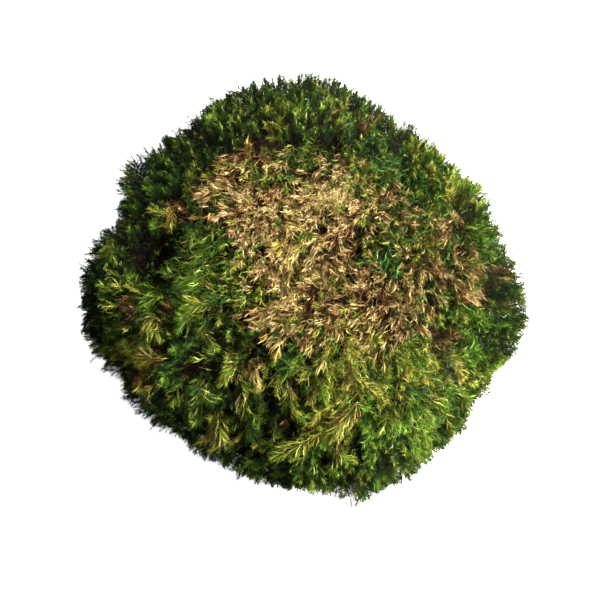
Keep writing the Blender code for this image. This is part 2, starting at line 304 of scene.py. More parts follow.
# Holes: the same values, placed by the roots. Their short shoots' old, dark leaves are painted
# shade in the holes, and in the furrows partly also the brown of dead stalks.
HOLES = {
    "furrow": (
        (297, 204, 6, 4, 10), (313, 178, 7, 5, 10), (303, 277, 5, 4, 11), (311, 271, 6, 4, 11),
        (321, 266, 7, 4, 11), (294, 287, 5, 4, 14), (355, 249, 7, 7, 11), (346, 260, 5, 4, 10),
        (367, 268, 5, 5, 14), (349, 292, 4, 10, 11), (387, 238, 6, 10, 9), (397, 212, 4, 8, 9),
        (405, 250, 5, 4, 12), (231, 183, 5, 4, 10), (245, 178, 5, 5, 6), (268, 206, 5, 4, 10),
        (310, 298, 10, 4, 8), (427, 274, 5, 6, 5),
    ),
    "hollow": (
        (160, 264, 20, 23, 16), (190, 262, 10, 9, 5), (267, 388, 16, 13, 14), (266, 364, 8, 12, 9),
        (262, 430, 9, 7, 7), (246, 424, 8, 7, 8), (222, 407, 17, 6, 10), (243, 381, 4, 12, 9),
        (230, 343, 11, 9, 9), (209, 356, 14, 8, 9), (286, 412, 9, 6, 7), (332, 447, 12, 5, 9),
        (311, 408, 10, 9, 6), (330, 394, 8, 6, 5), (145, 412, 12, 8, 7), (172, 345, 12, 8, 7),
        (205, 422, 11, 8, 6), (340, 482, 12, 7, 7), (242, 118, 9, 9, 8), (212, 150, 13, 10, 8),
        (376, 132, 12, 6, 7), (122, 275, 8, 7, 6), (115, 345, 8, 7, 6), (364, 350, 5, 9, 7),
    ),
}

# Holes waver by HOLE_WOBBLE of the crown's waver. The kinds' shares drift by PATCHINESS over the
# clump, and PATCH_CONTRAST sets off the strongest. Roots are seen that face the camera by more
# than FACING_CAMERA.
HOLE_WOBBLE = 0.5
PATCH_CONTRAST = 2.5
PATCHINESS = 0.75
PATCH_WAVE = 13 * MM
FACING_CAMERA = 0.05

# Long shoots that lie over the others: root and tip pixel, pixels that the middle bows aside,
# tone of browned leaves at the foot, tone, leaf in mm, leaves to a mm of stalk before
# FROND_DENSITY, degrees that leaves open, and mm that the middle stands off the form. The root
# lies FROND_ROOT_DEPTH mm deep. Of the FROND_STEPS places along it the first ON_FORM have to lie
# on the form.
Frond = namedtuple("Frond", "x0 y0 x1 y1 bow foot tone leaf dense open lift")
FRONDS = [Frond(*row) for row in (
    (360, 399, 319, 439, 5, 15, 38, 8.4, 7, 44, 3.6),
    (324, 421, 272, 456, 5, 14, 40, 7.8, 7, 44, 3.6), (334, 435, 355, 461, -3, 18, 42, 6, 6, 36, 3),
    (286, 380, 304, 422, -3, 24, 41, 6.6, 6, 36, 3.2),
    (252, 357, 257, 392, 2, 12, 29, 5.6, 6, 26, 3.5),
    (244, 353, 219, 383, 3, 30, 40, 6.8, 6, 38, 3.2),
    (235, 370, 252, 390, -2, 30, 41, 5.2, 6, 34, 3.2),
    (240, 387, 263, 420, -4, 18, 41, 6.6, 6, 38, 3.2),
    (219, 411, 234, 447, -4, 34, 41, 8.4, 7, 40, 2.8),
    (322, 354, 327, 404, -3, 36, 45, 7.2, 6, 40, 3), (343, 358, 364, 384, -3, 28, 37, 7, 6, 40, 3),
    (349, 376, 379, 392, -3, 26, 36, 6.6, 6, 38, 3), (303, 343, 294, 365, 2, 44, 51, 6, 5, 38, 2.6),
    (282, 333, 275, 359, 2, 22, 31, 6, 5, 36, 2.6), (253, 403, 253, 440, 3, 44, 54, 6.4, 5, 38, 3),
    (196, 383, 219, 396, -3, 42, 47, 6, 5, 38, 2.8), (206, 372, 190, 390, 3, 44, 53, 6, 5, 38, 2.8),
    (178, 384, 172, 402, 2, 34, 41, 5.8, 5, 40, 2.8),
    (168, 360, 124, 343, 4, 5, 38, 8.2, 7, 44, 2.4),
    (152, 313, 147, 341, 2, 30, 40, 6.4, 6, 32, 2.8),
    (158, 318, 161, 340, -2, 30, 39, 6, 6, 32, 2.8),
    (170, 297, 141, 309, -3, 36, 47, 6.2, 5, 40, 2.8),
    (193, 314, 178, 331, 2, 40, 48, 6.2, 5, 38, 2.8),
    (222, 321, 243, 334, 3, 64, 66, 6.4, 5, 28, 3),
    (203, 326, 217, 350, -3, 40, 43, 5.8, 5, 36, 2.8),
    (173, 203, 170, 230, 2, 16, 35, 5.4, 6, 34, 2.8),
    (107, 240, 115, 264, 2, 34, 43, 5.6, 5, 38, 2.4),
    (160, 381, 141, 389, 2, 14, 36, 5.6, 5, 40, 2.4),
    (345, 466, 347, 501, 2, 50, 53, 5.2, 5, 36, 3), (372, 462, 376, 491, -2, 50, 52, 5.2, 5, 36, 3),
    (198, 204, 188, 252, 3, 48, 49, 6.6, 4, 32, 3), (225, 229, 195, 264, 4, 46, 50, 6.8, 4, 32, 3),
    (218, 259, 180, 288, 4, 46, 50, 6.8, 4, 32, 3),
    (251, 283, 205, 300, 3.4, 40, 54, 6.8, 4, 32, 3),
    (393, 209, 383, 272, 3, 50, 56, 6.6, 4, 28, 3), (400, 215, 398, 265, -3, 52, 55, 6.6, 4, 28, 3),
    (430, 205, 403, 252, 3, 54, 56, 6.6, 4, 30, 3),
    (452, 216, 445, 262, 2, 50, 52, 6.4, 4, 30, 2.4),
    (412, 150, 376, 166, 3, 52, 56, 6.6, 4, 30, 2.6),
    (405, 165, 378, 184, 3, 52, 57, 6.6, 4, 30, 2.6),
    (430, 160, 441, 198, 3, 52, 54, 6.8, 4, 30, 2.6),
    (483, 314, 466, 359, -3, 48, 54, 6.8, 5, 34, 3),
    (456, 292, 452, 316, 2, 34, 44, 6.4, 5, 34, 2.6),
    (398, 380, 414, 396, -3, 50, 54, 6, 5, 36, 2.8),
    (419, 394, 431, 420, -4, 44, 46, 6.6, 5, 38, 2.8),
    (404, 392, 402, 430, 3, 65, 67, 6.8, 6, 38, 2.8),
    (388, 398, 378, 432, 3, 40, 43, 6.6, 6, 40, 2.8),
    (450, 358, 461, 381, -2, 16, 33, 6, 5, 38, 2.6),
)]
FROND_DENSITY = 1.2
FROND_ROOT_DEPTH = 2.5
FROND_LEAF_WIDTH = 0.27 * MM
FROND_STEPS = 12
ON_FORM = 9

# Patches of shorter laid shoots, scattered: pixel, reach in pixels, number of shoots, image
# heading in degrees or None for away from the crown, length in pixels, tone, leaf in mm.
Spray = namedtuple("Spray", "x y reach_x reach_y number heading length tone leaf")
SPRAYS = [Spray(*row) for row in (
    (392, 158, 26, 20, 44, -145, 28, 54, 5.8), (427, 180, 14, 20, 22, -62, 28, 53, 5.6),
    (425, 210, 22, 10, 22, -140, 26, 54, 5.4), (392, 235, 8, 30, 26, -97, 36, 54, 5.8),
    (468, 245, 12, 24, 20, -35, 22, 51, 5), (428, 245, 20, 24, 12, -112, 28, 53, 5.8),
    (208, 260, 14, 40, 28, -140, 32, 47, 6), (225, 298, 24, 14, 22, -165, 30, 44, 6),
    (268, 173, 16, 5, 7, -165, 24, 53, 5), (304, 146, 30, 5, 20, -110, 22, 47, 4.8),
    (410, 395, 50, 40, 60, None, 24, 44, 5.4), (335, 368, 50, 22, 34, None, 26, 43, 5.6),
    (320, 440, 44, 18, 14, None, 22, 45, 5.2), (235, 385, 40, 34, 20, None, 24, 45, 5.6),
    (300, 118, 60, 10, 20, None, 20, 48, 4.8), (130, 310, 34, 44, 22, None, 20, 47, 5),
)]
SPRAY_SPREAD = 30
SPRAY_DENSITY = 2.2
SPRAY_OPEN = 33
SPRAY_LEAF_WIDTH = 0.3 * MM

# Big open shoots that point at the viewer: pixel, tone, leaf in mm, number of leaves. They reach
# STAR_DEPTH down, turn to the viewer by STAR_FACING, and open by STAR_OPEN degrees at the foot
# and by STAR_CLOSING less at the tip.
Star = namedtuple("Star", "x y tone leaf number")
STARS = [Star(*row) for row in (
    (213, 122, 46, 7.6, 190), (163, 160, 48, 5.8, 150), (155, 191, 49, 5.8, 150),
    (157, 226, 49, 6.6, 170), (191, 177, 40, 5, 110), (106, 253, 43, 5.6, 130),
    (131, 281, 46, 6, 150), (150, 308, 47, 6, 150), (184, 317, 44, 6, 150),
    (154, 330, 38, 6.4, 150), (178, 351, 51, 6.4, 150), (112, 318, 49, 5.6, 130),
    (231, 358, 39, 5.8, 130), (165, 376, 47, 6, 140), (148, 388, 37, 4.6, 90),
    (293, 366, 50, 7, 180), (211, 398, 49, 6, 150), (196, 420, 44, 5.6, 130),
    (246, 300, 44, 5.6, 110), (412, 372, 42, 6.4, 150), (446, 384, 46, 6.4, 150),
    (468, 345, 48, 6.6, 150), (480, 318, 43, 6, 130), (372, 430, 43, 6.2, 150),
    (425, 446, 48, 6, 140), (269, 112, 40, 5.6, 110), (337, 103, 31, 3.8, 70),
)]
STAR_DEPTH = 5 * MM
STAR_FACING = 0.35
STAR_OPEN = 72
STAR_CLOSING = 50

# Shoots are scattered over the ground and thinned out to their kinds' gaps. The gaps are narrower
# where the ground's normal rises less than OVERHANG. None is rooted lower than LOWEST_ROOT, or
# where the normal falls past LOWEST_FACING.
CANDIDATES = 170000
LOWEST_ROOT = 1.5 * MM
LOWEST_FACING = -0.85
OVERHANG = 0.2
OVERHANG_GAP = 0.82
GOLDEN_ANGLE = math.pi * (3 - math.sqrt(5))

# How shoots lean: a kind's heading drifts and jitters in degrees, a lean away from the crown
# drifts by LEAN_DRIFT and falls by LEAN_DOWN, and BEND_SHARE of a lean bends the stalk. A shoot
# rooted below LOW_DOWN falls no steeper than STEEPEST_DOWN. Stalks end TIP_RISE past the form's
# tips, which are sought up to FARTHEST_TIP and else taken to be NO_TIP away. STALKS: the least
# and the greatest length.
HEADING_DRIFT = 28
HEADING_JITTER = 20
HEADING_WAVE = 17 * MM
LEAN_WAVE = 26 * MM
LEAN_DRIFT = 0.9
LEAN_DOWN = 0.25
BEND_SHARE = 0.35
LOW_DOWN = 16 * MM
STEEPEST_DOWN = -0.3
TIP_RISE = 2.7 * MM
FARTHEST_TIP = 50 * MM
NO_TIP = BED_DEPTH * 1.3
STALKS = (2 * MM, 20 * MM)

# Shoots that aren't of the crown's kinds stand in tufts TUFT_GAP apart, leaning outwards by
# TUFT_LEAN. Along the seams between tufts, SEAM wide, they are up to SEAM_DEPTH shorter.
TUFT_GAP = 10 * MM
TUFT_WOBBLE = 1.4 * MM
TUFT_WAVE = 6 * MM
SEAM = 3.2 * MM
SEAM_DEPTH = 0.5
TUFT_LEAN = 0.5

# Where the rim's shoots reach further out or less far: pixel, reach in pixels, mm.
RIM_REACH = (
    (225, 98, 14, -2), (250, 90, 16, 2.4), (290, 80, 24, 2.6), (330, 80, 20, 3.8),
    (370, 110, 16, 3.5), (140, 168, 14, 4), (136, 186, 14, 5), (156, 140, 14, 0.5),
    (183, 124, 20, -3), (110, 220, 18, -6), (94, 242, 12, -1.5), (90, 258, 12, -1.5),
    (84, 290, 12, 3.5), (84, 322, 16, 5.5), (92, 352, 12, 1), (114, 382, 16, -6.5),
    (146, 408, 14, 1), (172, 438, 16, -3), (205, 454, 18, 0.5), (245, 478, 14, 1.5),
    (272, 488, 14, -2), (292, 490, 12, -3), (310, 492, 12, 0.5), (354, 494, 18, 6),
    (406, 464, 16, 1.5), (473, 405, 14, -5), (495, 378, 12, -3), (504, 346, 12, 4),
    (520, 314, 14, 5.5), (520, 274, 14, -4), (508, 248, 14, -4.5), (478, 200, 18, 9),
    (448, 158, 14, -2.5), (405, 130, 14, 1.5),
)

# Leaves are strips: shares of the length at foot, edge points and tip, and shares of the width
# at the edge points.
FINE = ((0, 0.42, 1.0), (1.0,))
FULL = ((0, 0.25, 0.62, 1.0), (0.9, 0.85))

# How far dry and living leaves swerve aside, and how the swerve grows from foot to tip.
SWERVE = (0.26, 0.5)
SWERVE_GROWTH = 2.4
SWERVE_START = 0.6

# How a shoot's leaves vary: shares of size, number, length and width; drifts of tone and age
# over the clump; and shares of withered and yellowed leaves at the foot, with their fall upwards.
SHOOT_SIZE = (0.8, 1.3)
LEAF_NUMBER = (0.8, 1.2)
LEAF_LENGTH = (0.7, 1.3)
LEAF_WIDTH = (0.75, 1.25)
BARE_SHARE = (0.05, 0.8)
LEAFED_SHARE = (0.3, 1.1)
TONE_MIX = 0.7
TONE_WAVE = 7 * MM
FAR_TONES = 3.0
FAR_WAVE = 24 * MM
AGE_SPREAD = 0.13
AGE_DRIFT = 0.12
AGE_WAVE = 6 * MM
WITHERED = (0.5, 1.8)
YELLOWED = (0.3, 0.45)
WITHERED_TONE = 7
YELLOWED_TONE = 31
ODD_TONES = 4

# Loose leaves over the shoots, dead leaves between them, and stubble at the cut: how many, their
# tones, lengths in mm and greatest ages. The old dead leaves and stubble are darker, partly as
# painted shade under the shoots.
LITTER_WIDTH = 0.3 * MM
LITTER = 300
LITTER_TONE = 22
LITTER_LENGTH = 4.2
LITTER_RISE = 0.8 * MM
LITTER_SPREAD = 1.5 * MM
GREEN_LITTER = 1500
GREEN_LITTER_TONE = 44
GREEN_LITTER_LENGTH = 3.8
LITTER_AGE = 0.3
THATCH = 15000
THATCH_TONES = (5, 9, 14, 44, 50)
THATCH_LENGTH = 4.5
THATCH_AGE_AND_SHADE = 0.8
STUBBLE = 4000
STUBBLE_TONES = THATCH_TONES[:3]
STUBBLE_LENGTH = 3.4
STUBBLE_AGE_AND_SHADE = 0.6

SECTORS = ("right", "back_right", "back_left", "left", "front_left", "front_right")
FLOOR_SIZE = 40


def linear(colour):
    """Linear light of a colour given as 0 to 255."""
    return [((c / 255 + 0.055) / 1.055) ** 2.4 for c in colour]


def unit(vectors):
    """The vectors, each brought to a length of 1."""
    length = np.linalg.norm(vectors, axis=-1, keepdims=True)
    return vectors / np.maximum(length, 1e-12)


def pixels_of(points):
    """Pixel of each point in the photograph."""
    offset = points - CAMERA_PLACE
    depth = -offset @ TO_CAMERA
    across = offset @ IMAGE_RIGHT / depth
    up = offset @ IMAGE_UP / depth
    half = IMAGE_SIZE / 2
    return np.stack((half + FOCAL_PIXELS * across, half - FOCAL_PIXELS * up), axis=-1)


def sight_line(x, y):
    """Direction from the camera through a pixel."""
    right = (x - IMAGE_SIZE / 2) / FOCAL_PIXELS
    up = (IMAGE_SIZE / 2 - y) / FOCAL_PIXELS
    return unit(IMAGE_RIGHT * right + IMAGE_UP * up - TO_CAMERA)


def tree_of(places, triangles):
    """A tree that answers where a ray meets these triangles."""
    return BVHTree.FromPolygons(
        [Vector(p) for p in places], [tuple(int(i) for i in t) for t in triangles]
    )


def mesh_arrays(mesh):
    """Corner places and triangles of a mesh."""
    places = np.empty(len(mesh.vertices) * 3)
    mesh.vertices.foreach_get("co", places)
    mesh.calc_loop_triangles()
    triangles = np.empty(len(mesh.loop_triangles) * 3, dtype=np.int32)
    mesh.loop_triangles.foreach_get("vertices", triangles)
    return places.reshape(-1, 3), triangles.reshape(-1, 3)


def ray_fan(rounds, turns):
    """Directions from the heart, by round and turn."""
    polar = (np.arange(rounds) + 0.5) / rounds * math.pi
    azimuth = (np.arange(turns) + 0.5) / turns * 2 * math.pi
    polar, azimuth = np.meshgrid(polar, azimuth, indexing="ij")
    return np.stack(
        (np.sin(polar) * np.cos(azimuth), np.sin(polar) * np.sin(azimuth), np.cos(polar)), axis=-1
    )


def windows(grid):
    """The neighbours of each entry of a round-by-turn grid, stacked along a new first axis."""
    padded = np.pad(grid, ((FILTER, FILTER), (0, 0)), mode="edge")
    stack = []
    for i in range(2 * FILTER + 1):
        for j in range(-FILTER, FILTER + 1):
            stack.append(np.roll(padded[i:i + len(grid)], j, axis=1))
    return np.array(stack)


def grid_mesh(distances):
    """Places and triangles of the closed form with these distances from the heart."""
    distances = distances.reshape(ROUNDS, FINER, TURNS, FINER).mean(axis=(1, 3))
    places = (HEART + ray_fan(ROUNDS, TURNS) * distances[..., None]).reshape(-1, 3)
    top = HEART + (0, 0, distances[0].mean())
    bottom = HEART - (0, 0, distances[-1].mean())
    places = np.vstack((places, top, bottom))
    places[:, 2] = np.maximum(places[:, 2], BED_CUT)
    top_index = ROUNDS * TURNS
    last = (ROUNDS - 1) * TURNS
    triangles = []
    for j in range(TURNS):
        k = (j + 1) % TURNS
        triangles.append((top_index, j, k))
        triangles.append((last + j, top_index + 1, last + k))
    row = np.arange(ROUNDS - 1)[:, None] * TURNS
    j = np.arange(TURNS)[None, :]
    k = (j + 1) % TURNS
    a, b, c, d = row + j, row + TURNS + j, row + TURNS + k, row + k
    quads = np.stack((a, b, c, a, c, d), axis=-1).reshape(-1, 3)
    return places, np.vstack((quads, np.array(triangles)))


def read_form(node):
    """The tips' envelope of the form and the sunken ground, each as places and triangles."""
    form = tree_of(*mesh_arrays(node.data))
    fan = ray_fan(ROUNDS * FINER, TURNS * FINER).reshape(-1, 3)
    distances = np.array([form.ray_cast(Vector(HEART), Vector(d))[3] for d in fan])
    near = windows(distances.reshape(ROUNDS * FINER, TURNS * FINER))
    tips = windows(np.percentile(near, TIP_SHARE, axis=0)).mean(axis=0)
    ground = windows(np.percentile(near, GROUND_SHARE, axis=0)).mean(axis=0)
    height = HEART[2] + fan[:, 2].reshape(ground.shape) * ground
    sink = np.interp(height, *BED_SINK)
    further = rim_reach(HEART + fan * tips.reshape(-1, 1)).reshape(tips.shape)
    ground = ground + RIM_FOLLOW * np.maximum(further, 0) - sink
    return grid_mesh(tips), grid_mesh(np.minimum(ground, tips - LEAST_SINK * sink))


def scatter_candidates(places, triangles, count):
    """Random points on a mesh, with the normals of their triangles."""
    corners = places[triangles]
    normals = np.cross(corners[:, 1] - corners[:, 0], corners[:, 2] - corners[:, 0])
    areas = np.linalg.norm(normals, axis=1)
    chosen = draw.choice(len(triangles), size=count, p=areas / areas.sum())
    a, b = draw.random((2, count, 1))
    flip = a + b > 1
    a, b = np.where(flip, 1 - a, a), np.where(flip, 1 - b, b)
    picked = corners[chosen]
    points = picked[:, 0] + a * (picked[:, 1] - picked[:, 0]) + b * (picked[:, 2] - picked[:, 0])
    return points, unit(normals[chosen])


def thin_out(points, gaps):
    """Indices of the points that have no earlier kept point nearer than their gap."""
    size = float(gaps.max())
    steps = [(i, j, k) for i in (-1, 0, 1) for j in (-1, 0, 1) for k in (-1, 0, 1)]
    kept, grid = [], {}
    for index, key in enumerate(map(tuple, np.floor(points / size).astype(int))):
        x, y, z = points[index]
        limit = gaps[index] ** 2
        cells = (grid.get((key[0] + i, key[1] + j, key[2] + k), ()) for i, j, k in steps)
        near = (place for cell in cells for place in cell)
        if all((a - x) ** 2 + (b - y) ** 2 + (c - z) ** 2 >= limit for a, b, c in near):
            kept.append(index)
            grid.setdefault(key, []).append((x, y, z))
    return np.array(kept)


def drift(points, wave, seed):
    """A smooth random field with that wavelength, about -1 to 1, three values a point."""
    source = np.random.default_rng(seed)
    field = np.zeros((len(points), 3))
    for _ in range(7):
        way = unit(source.standard_normal(3)) * 2 * math.pi / (wave * source.uniform(0.7, 1.6))
        phase = source.uniform(0, 2 * math.pi, 3)
        field += np.sin((points @ way)[:, None] + phase)
    return field / 2.6


def rim_reach(tips_there):
    """How much further out shoots with tips there are to reach, by the rim's table."""
    pixels = pixels_of(tips_there)
    further = np.zeros(len(pixels))
    for x, y, reach, push in RIM_REACH:
        away = np.linalg.norm(pixels - (x, y), axis=1) / reach
        further += push * MM * np.exp(-away ** 2)
    return further


def inside_crown(pixels):
    """Which pixels lie within the crown's outline, by the crossings to their right."""
    x, y = pixels.T
    inside = np.zeros(len(x), dtype=bool)
    for (x0, y0), (x1, y1) in zip(CROWN_OUTLINE, CROWN_OUTLINE[1:] + CROWN_OUTLINE[:1]):
        if y0 != y1:
            crossing = x0 + (y - y0) / (y1 - y0) * (x1 - x0)
            inside ^= ((y0 > y) != (y1 > y)) & (x < crossing)
    return inside


def add_patches(shares, pixels, patches):
    """Adds the patches' strengths to their kinds' shares, fading with distance in pixels."""
    for kind, places in patches.items():
        for x, y, reach_x, reach_y, strength in places:
            away = ((pixels[:, 0] - x) / reach_x) ** 2 + ((pixels[:, 1] - y) / reach_y) ** 2
            shares[:, KIND_NAMES.index(kind)] += strength * np.exp(-away)


def choose_kinds(roots, outside):
    """One kind of shoot for each root, drawn by the patches' shares where its tip will be."""
    waver = CROWN_WOBBLE * drift(roots, CROWN_WAVE, seed=31)[:, :2]
    away = unit((roots - CROWN_CENTRE) * (1, 1, 0))
    standing = pixels_of(roots + TIP_REACH * unit(outside + GREEN_LEAN * away)) + waver
    laid = pixels_of(roots + TIP_REACH * unit(outside + CROWN_LEAN)) + waver
    rooted = pixels_of(roots + BED_DEPTH * outside) + HOLE_WOBBLE * waver
    shares = np.zeros((len(roots), len(KIND_NAMES)))
    crown = np.isin(KIND_NAMES, CROWN_KINDS)
    add_patches(shares, standing, PATCHES)
    add_patches(shares, laid, CROWN_PATCHES)
    shares[:, KIND_NAMES.index(GROUND_KIND)] += GROUND_STRENGTH
    inside = inside_crown(laid)
    shares[np.ix_(~inside, crown)] *= STRAY
    shares[np.ix_(inside, ~crown)] *= STRAY_GREEN
    add_patches(shares, laid, CROWN_SPOTS)
    add_patches(shares, standing, SPOTS)
    add_patches(shares, rooted, HOLES)
    seen = outside @ TO_CAMERA > FACING_CAMERA
    hidden = np.where(np.isin(KIND_NAMES, HIDDEN_KINDS), 1.0, 0.0)
    shares = np.where(seen[:, None], shares, hidden)
    for index in range(len(KIND_NAMES)):
        shares[:, index] *= np.exp(PATCHINESS * drift(roots, PATCH_WAVE, seed=40 + index)[:, 0])
    shares = shares ** PATCH_CONTRAST
    shares /= shares.sum(axis=1, keepdims=True)
    draws = draw.random((len(roots), 1))
    return (np.cumsum(shares, axis=1) < draws).sum(axis=1).clip(0, len(KIND_NAMES) - 1)


def kind_values(kinds, field):
    """One field of each shoot's kind."""
    return np.array([getattr(KINDS[name], field) for name in KIND_NAMES])[kinds]


def of_kinds(kinds, names):
    """Which shoots are of one of the named kinds."""
    return np.isin(kinds, [KIND_NAMES.index(name) for name in names])


def lean_directions(points, normals, kinds):
    """The way each shoot leans: its kind's image direction, or away from the crown."""
    away = unit((points - CROWN_CENTRE) * (1, 1, 0)) - np.array((0, 0, LEAN_DOWN))
    away = away + LEAN_DRIFT * drift(points, LEAN_WAVE, seed=8)
    for index, name in enumerate(KIND_NAMES):
        heading = KINDS[name].heading
        if heading is not None:
            mine = kinds == index
            swing = HEADING_DRIFT * drift(points[mine], HEADING_WAVE, seed=9)[:, 0]
            swing += HEADING_JITTER * draw.standard_normal(mine.sum())
            angle = np.radians(heading + swing)[:, None]
            away[mine] = np.cos(angle) * IMAGE_RIGHT + np.sin(angle) * IMAGE_UP
    away -= normals * np.einsum("ij,ij->i", away, normals)[:, None]
    return unit(away)


def tufts(points):
    """Each point's offset from the middle of its tuft, in tufts' gaps, and 0 on a seam to 1."""
    middles = points[thin_out(points, np.full(len(points), TUFT_GAP))]
    tree = KDTree(len(middles))
    for index, middle in enumerate(middles):
        tree.insert(middle, index)
    tree.balance()
    offsets, within = np.zeros(points.shape), np.ones(len(points))
    for index, place in enumerate(points + TUFT_WOBBLE * drift(points, TUFT_WAVE, seed=12)):
        (middle, _, near), (_, _, far) = tree.find_n(place, 2)
        offsets[index] = (place - np.array(middle)) / TUFT_GAP
        within[index] = min((far - near) / SEAM, 1)
    return offsets, within


def add_object(name, data):
    """A new object of the scene."""
    item = bpy.data.objects.new(name, data)
    bpy.context.collection.objects.link(item)
    return item


class Leaves:
    """Collects leaves, strips pointed at both ends, and makes one mesh of them."""

    def __init__(self, sections, widths):
        """sections: shares of the leaf's length at foot, pairs of edge points, and tip."""
        self.sections = np.array(sections)
        self.widths = np.array(widths)
        self.pairs = len(widths)
        self.places, self.columns, self.bands = [], [], []

    def add(self, root, along, outward, side, length, width, opening, curl, column, age_and_shade):
        """root: place on the stalk; along: stalk direction; outward: square to it; the last, 0 to
        1, is the leaf's age: older leaves are darker, partly as painted shade.
        """
        rows = [root]
        here = root
        swerve = draw.normal(0, 1, len(root)) * np.where(column < FIRST_GREEN, *SWERVE)
        for step in range(self.pairs + 1):
            share = self.sections[step + 1] - self.sections[step]
            middle = (self.sections[step + 1] + self.sections[step]) / 2
            angle = (opening + curl * (2 * middle - 1))[:, None]
            turn = (swerve * (SWERVE_GROWTH * middle - SWERVE_START))[:, None]
            way = unit(np.cos(angle) * along + np.sin(angle) * outward + turn * side)
            here = here + (length * share)[:, None] * way
            if step < self.pairs:
                half = side * (width * self.widths[step] / 2)[:, None]
                rows += [here - half, here + half]
        rows.append(here)
        self.places.append(np.stack(rows, axis=1))
        self.columns.append(np.clip(column, 0, COLUMNS - 1).astype(int))
        self.bands.append(np.clip(age_and_shade * BANDS, 0, BANDS - 1).astype(int))

    def faces(self):
        """Corners of one leaf's faces in a row, and where each face starts in that row."""
        order, starts = [0, 2, 1], [0]
        for pair in range(self.pairs - 1):
            starts.append(len(order))
            order += [2 * pair + 1, 2 * pair + 2, 2 * pair + 4, 2 * pair + 3]
        starts.append(len(order))
        order += [2 * self.pairs - 1, 2 * self.pairs, 2 * self.pairs + 1]
        return np.array(order), np.array(starts)

    def leaf_map(self, order):
        """The map of all leaves: each in its tone's column, its length along its age's band."""
        columns, bands = np.concatenate(self.columns), np.concatenate(self.bands)
        half = self.widths * MAP_HALF
        across = np.concatenate(([0], np.stack((-half, half), axis=-1).ravel(), [0]))
        along = np.concatenate(([0], np.repeat(self.sections[1:-1], 2), [1]))
        along = along * (1 - 2 * MAP_MARGIN) + MAP_MARGIN
        u = (columns[:, None] + 0.5 + across[order]) / COLUMNS
        v = (bands[:, None] + along[order]) / BANDS
        return np.stack((u, v), axis=-1)

    def build(self, name, material):
        """The leaves as one piece, held inside the form's box and above the floor."""
        places = np.concatenate(self.places)
        low = np.array(cad_box[0]) + BOX_GAP
        low[2] = max(low[2], FLOOR_GAP)
        flat = np.clip(places.reshape(-1, 3), low, np.array(cad_box[1]) - BOX_GAP)
        number, corners_each = places.shape[:2]
        order, starts = self.faces()
        mesh = bpy.data.meshes.new(name)
        mesh.vertices.add(number * corners_each)
        mesh.vertices.foreach_set("co", flat.ravel())
        mesh.loops.add(number * len(order))
        corners = (np.arange(number)[:, None] * corners_each + order).ravel()
        mesh.loops.foreach_set("vertex_index", corners)
        mesh.polygons.add(number * len(starts))
        first = (np.arange(number)[:, None] * len(order) + starts).ravel()
        mesh.polygons.foreach_set("loop_start", first)
        mesh.polygons.foreach_set("use_smooth", np.ones(len(first), dtype=bool))
        layer = mesh.uv_layers.new(name="OFBake")
        layer.data.foreach_set("uv", self.leaf_map(order).ravel())
        mesh.validate()
        mesh.update()
        mesh.materials.append(material)
        return add_object(name, mesh)


def side_frame(along):
    """Two directions square to each stalk direction and to each other."""
    guide = np.where(np.abs(along[..., 2:3]) < 0.9, (0, 0, 1.0), (1.0, 0, 0))
    first = unit(np.cross(along, guide))
    return first, np.cross(along, first)


def spread_leaves(along, heading, spread):
    """Directions square to the stalks at these headings, and the leaves' sides, a little off."""
    first, second = side_frame(along)
    outward = np.cos(heading)[:, None] * first + np.sin(heading)[:, None] * second
    return outward, unit(np.cross(along, outward) + draw.normal(0, spread, outward.shape))


